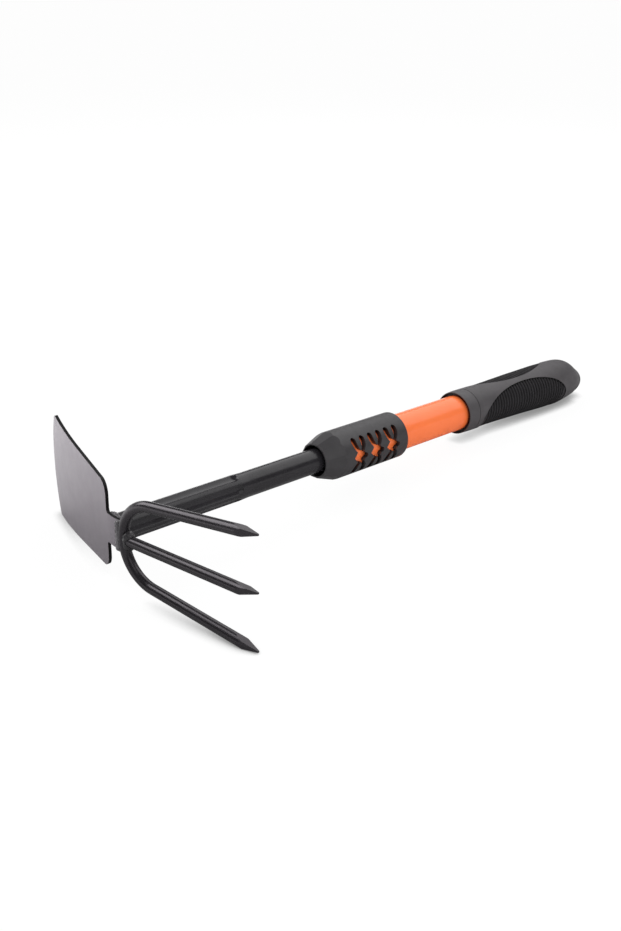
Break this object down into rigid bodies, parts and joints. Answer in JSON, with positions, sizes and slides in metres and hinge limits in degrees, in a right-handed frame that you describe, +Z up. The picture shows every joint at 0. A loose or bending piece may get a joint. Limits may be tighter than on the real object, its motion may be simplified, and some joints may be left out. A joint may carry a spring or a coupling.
{
  "type": "double hoe",
  "caption": "Hand-held double hoe with a curved blade on one side of the head and a tined fork on the other, on a fluted steel shank with a painted tube and a ribbed grip.",
  "frame": {"origin": "middle of the tool's bounding box, at the ground it lies on", "axes": "+X along the handle from the head to the pommel, +Y towards the cutting edge of the blade (the tines point to -Y), +Z up from the ground; the tool lies on a blade corner, the lower tine and the grip, as in the picture"},
  "size_m": [0.426, 0.21, 0.0646],
  "materials": {
    "blade_steel": "satin black coating",
    "fork_steel": "gloss black enamel",
    "weld_steel": "gloss black enamel over lumpy beads",
    "shank_steel": "gloss black enamel",
    "bush_plastic": "moulded nylon",
    "pin_steel": "zinc-plated",
    "orange_paint": "gloss orange enamel",
    "collar_plastic": "matt moulded plastic",
    "grip_plastic": "matt soft-touch plastic",
    "pad_rubber": "ribbed soft rubber"
  },
  "bodies": {
    "root": {"hoe_blade": "blade_steel", "fork_rod": "fork_steel", "middle_tine": "fork_steel", "head_weld": "weld_steel", "tine_weld": "weld_steel", "shank_tube": "shank_steel", "front_bush": "bush_plastic", "rear_bush": "bush_plastic", "cross_pin": "pin_steel", "handle_tube": "orange_paint", "collar": "collar_plastic", "grip_body": "grip_plastic", "finger_pad": "pad_rubber", "palm_pad": "pad_rubber"}
  },
  "joints": []
}
